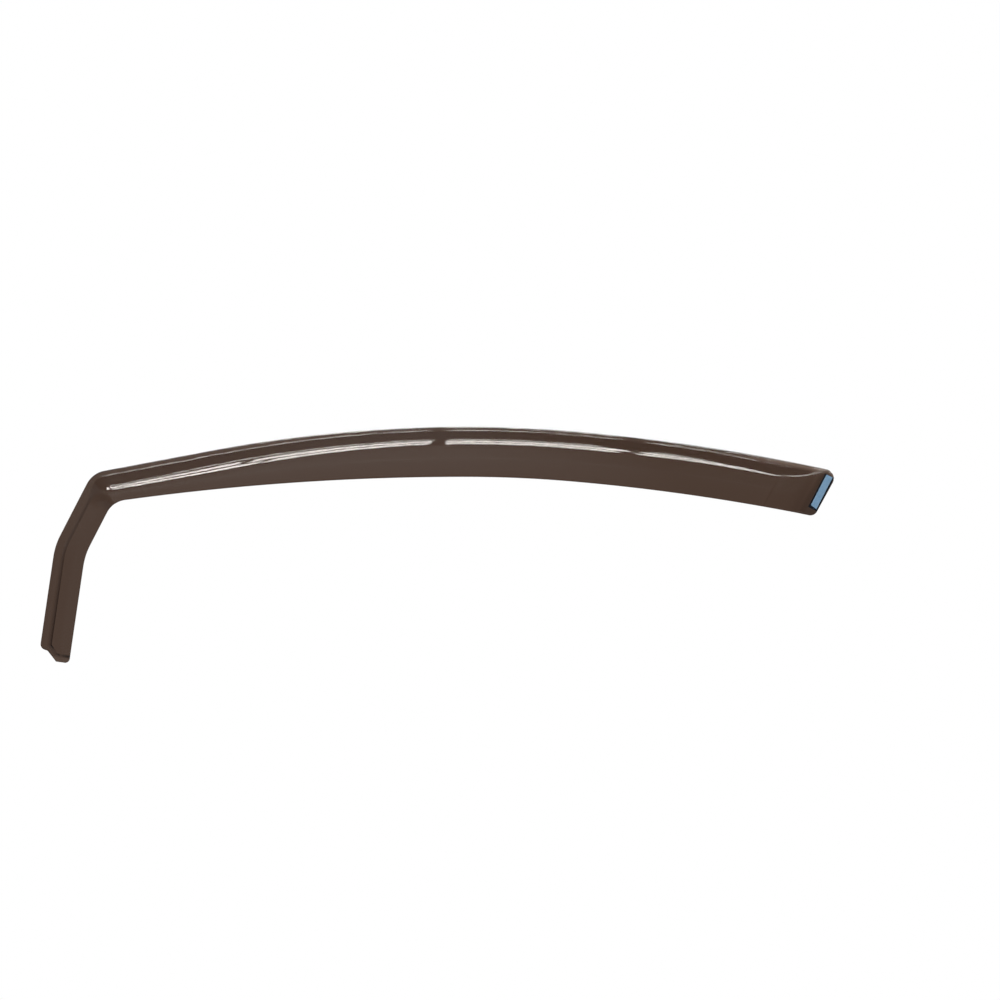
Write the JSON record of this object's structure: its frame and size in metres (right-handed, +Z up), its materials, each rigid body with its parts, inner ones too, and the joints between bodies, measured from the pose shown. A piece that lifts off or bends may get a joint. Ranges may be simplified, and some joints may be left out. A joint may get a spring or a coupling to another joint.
{
  "type": "window rain deflector",
  "caption": "Smoke-tinted wind and rain deflector for a car's side window: a long curved visor with a kinked leg, held in the window channel and by a foam tape tab at its tail.",
  "frame": {"origin": "middle of the release liner's outer face, on the tail's tab", "axes": "upright as fitted on the door: +X along the visor towards the tail, +Z up, and the outer face looks along -Y"},
  "size_m": [0.9529, 0.0343, 0.2834],
  "materials": {
    "smoke_acrylic": "smoke-brown tinted acrylic, thermoformed and polished to a high gloss",
    "tape_foam": "closed-cell blue-black foam tape, matt",
    "liner_film": "light blue polythene release film, faintly mottled, satin"
  },
  "bodies": {
    "root": {"deflector_shell": "smoke_acrylic", "tape_foam": "tape_foam", "release_liner": "liner_film"}
  },
  "joints": []
}
